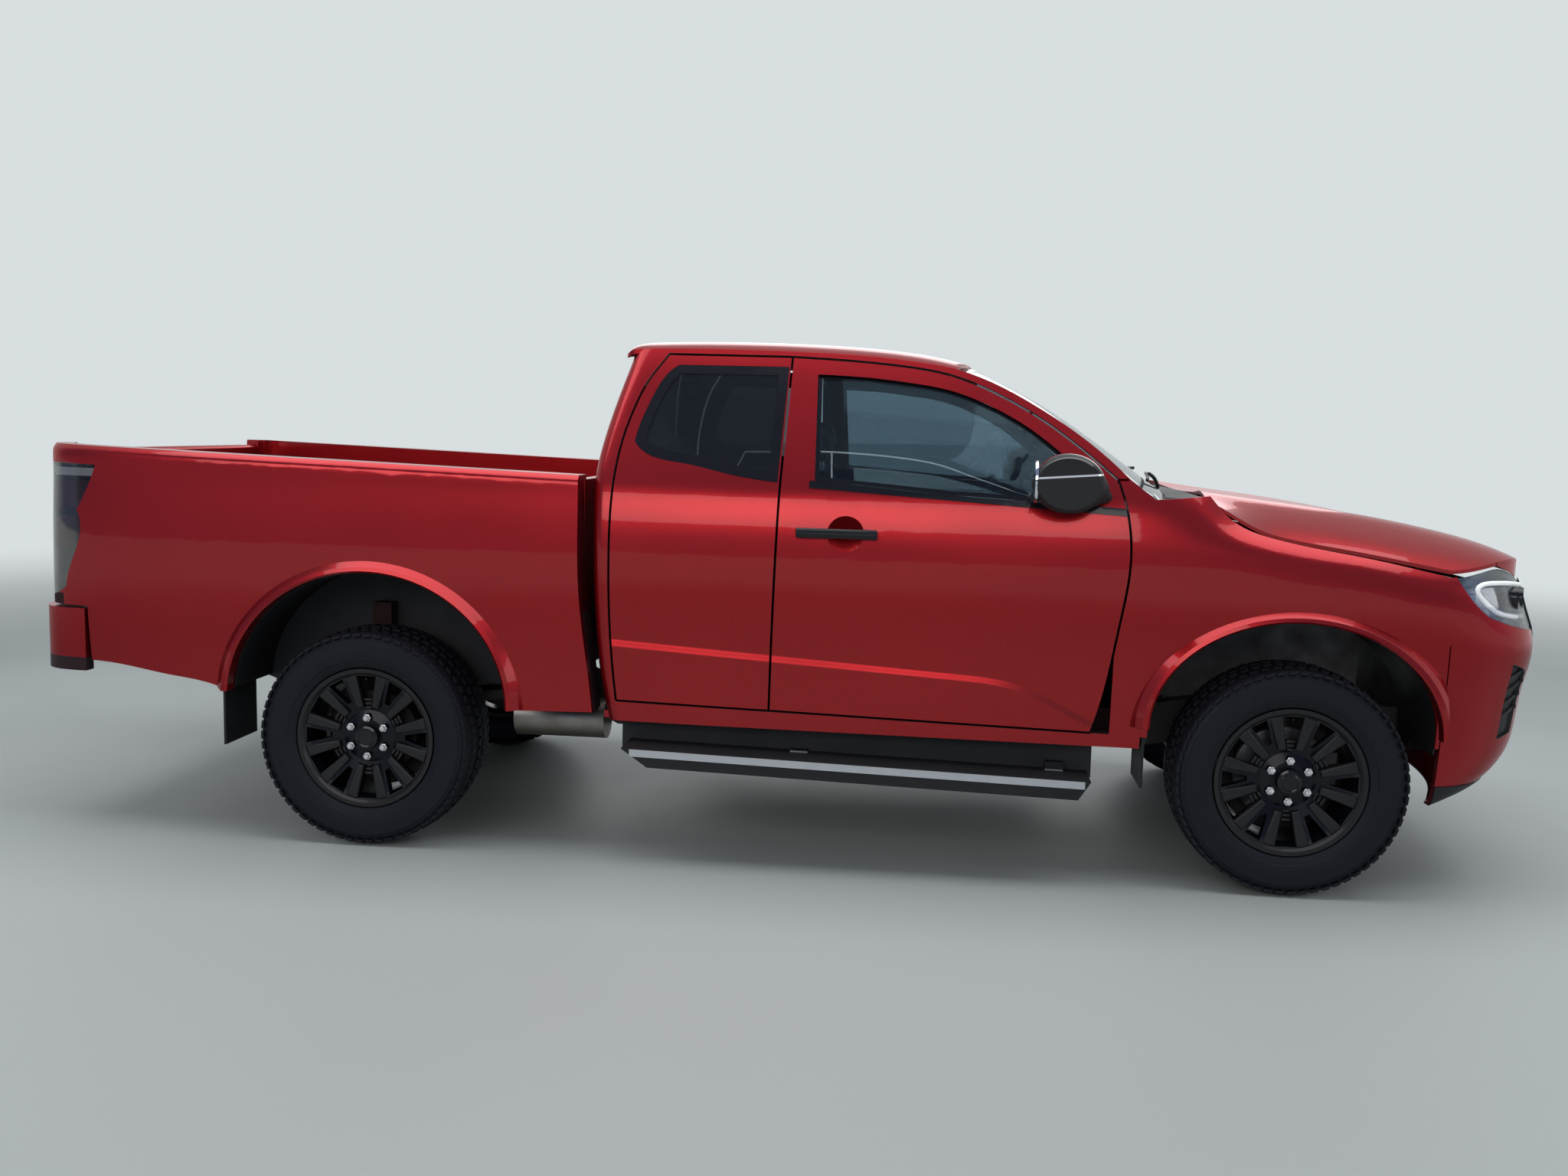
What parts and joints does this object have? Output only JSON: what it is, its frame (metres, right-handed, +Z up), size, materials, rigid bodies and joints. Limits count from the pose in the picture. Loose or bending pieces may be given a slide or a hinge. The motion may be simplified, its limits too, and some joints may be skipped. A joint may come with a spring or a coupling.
{
  "type": "pickup truck",
  "caption": "Extended-cab pickup truck with a separate load bed, opening doors, bonnet and tailgate, steered front wheels and a ladder frame below.",
  "frame": {"origin": "on the ground, below the middle of the truck's length and width", "axes": "+X forward, +Y to the truck's left, +Z up"},
  "size_m": [5.28, 2.084, 1.7977],
  "materials": {
    "body_paint": "gloss metallic deep red",
    "clear_glass": "clear, lightly tinted",
    "dark_glass": "dark tinted",
    "lamp_lens": "clear lens",
    "smoked_lens": "smoked lens",
    "gloss_black": "gloss",
    "dark_plastic": "matte, fine grain",
    "frame_black": "satin",
    "cast_grey": "as cast",
    "pipe_steel": "dull",
    "tyre_rubber": "matte",
    "rim_black": "satin",
    "seat_cloth": "woven, dark grey",
    "trim_plastic": "fine grain"
  },
  "bodies": {
    "body": {"cab_shell": "body_paint", "windscreen": "clear_glass", "rear_window": "dark_glass", "fender_right": "body_paint", "fender_left": "body_paint", "headlamps": "lamp_lens", "grille": "dark_plastic", "front_bumper": "body_paint", "cowl": "dark_plastic", "load_bed": "body_paint", "tail_lamps": "smoked_lens", "rear_bumper": "body_paint", "ladder_frame": "frame_black", "frame_cross_beams": "frame_black", "engine_block": "cast_grey", "fuel_tank": "dark_plastic", "exhaust": "pipe_steel", "rear_axle": "frame_black", "front_suspension": "frame_black", "wheel_liners": "dark_plastic", "running_boards": "dark_plastic", "front_seats": "seat_cloth", "rear_seats": "seat_cloth", "dashboard": "trim_plastic"},
    "door_front_right": {"front_door_right": "body_paint", "front_door_glass_right": "clear_glass", "mirror_right": "gloss_black"},
    "door_front_left": {"front_door_left": "body_paint", "front_door_glass_left": "clear_glass", "mirror_left": "gloss_black"},
    "door_rear_right": {"rear_door_right": "body_paint", "quarter_glass_right": "dark_glass"},
    "door_rear_left": {"rear_door_left": "body_paint", "quarter_glass_left": "dark_glass"},
    "hood": {"bonnet": "body_paint"},
    "gate": {"tailgate": "body_paint"},
    "steered_right": {"knuckle_right": "cast_grey"},
    "steered_left": {"knuckle_left": "cast_grey"},
    "wheel_front_right": {"tyre_front_right": "tyre_rubber", "rim_front_right": "rim_black"},
    "wheel_front_left": {"tyre_front_left": "tyre_rubber", "rim_front_left": "rim_black"},
    "wheel_rear_right": {"tyre_rear_right": "tyre_rubber", "rim_rear_right": "rim_black"},
    "wheel_rear_left": {"tyre_rear_left": "tyre_rubber", "rim_rear_left": "rim_black"},
    "driver_wheel": {"steering_wheel": "trim_plastic"}
  },
  "joints": [
    {"name": "front_door_right_hinge", "type": "hinge", "parent": "body", "child": "door_front_right", "pos_m": [1.15, -0.905, 0.9], "axis": [0, 0, 1], "range_deg": [0, 65]},
    {"name": "front_door_left_hinge", "type": "hinge", "parent": "body", "child": "door_front_left", "pos_m": [1.15, 0.905, 0.9], "axis": [0, 0, -1], "range_deg": [0, 65]},
    {"name": "rear_door_right_hinge", "type": "hinge", "parent": "body", "child": "door_rear_right", "pos_m": [-0.525, -0.905, 0.9], "axis": [0, 0, -1], "range_deg": [0, 80]},
    {"name": "rear_door_left_hinge", "type": "hinge", "parent": "body", "child": "door_rear_left", "pos_m": [-0.525, 0.905, 0.9], "axis": [0, 0, 1], "range_deg": [0, 80]},
    {"name": "bonnet_hinge", "type": "hinge", "parent": "body", "child": "hood", "pos_m": [1.44, 0, 1.29], "axis": [0, -1, 0], "range_deg": [0, 50]},
    {"name": "tailgate_hinge", "type": "hinge", "parent": "body", "child": "gate", "pos_m": [-2.59, 0, 0.85], "axis": [0, -1, 0], "range_deg": [0, 90]},
    {"name": "steer_right", "type": "hinge", "parent": "body", "child": "steered_right", "pos_m": [1.735, -0.715, 0.38], "axis": [0, 0, 1], "range_deg": [-32, 32]},
    {"name": "steer_left", "type": "hinge", "parent": "body", "child": "steered_left", "pos_m": [1.735, 0.715, 0.38], "axis": [0, 0, 1], "range_deg": [-32, 32]},
    {"name": "steering_wheel_turn", "type": "hinge", "parent": "body", "child": "driver_wheel", "pos_m": [0.71, 0.365, 1.136], "axis": [-0.9062, 0, 0.4229], "range_deg": [-485, 485]},
    {"name": "spin_front_right", "type": "hinge", "parent": "steered_right", "child": "wheel_front_right", "pos_m": [1.735, -0.785, 0.38], "axis": [0, 1, 0], "continuous": true},
    {"name": "spin_front_left", "type": "hinge", "parent": "steered_left", "child": "wheel_front_left", "pos_m": [1.735, 0.785, 0.38], "axis": [0, 1, 0], "continuous": true},
    {"name": "spin_rear_right", "type": "hinge", "parent": "body", "child": "wheel_rear_right", "pos_m": [-1.39, -0.785, 0.38], "axis": [0, 1, 0], "continuous": true},
    {"name": "spin_rear_left", "type": "hinge", "parent": "body", "child": "wheel_rear_left", "pos_m": [-1.39, 0.785, 0.38], "axis": [0, 1, 0], "continuous": true}
  ],
  "couplings": [
    {"joint": "steer_left", "follows": "steer_right", "ratio": 1},
    {"joint": "steering_wheel_turn", "follows": "steer_right", "ratio": 15}
  ]
}
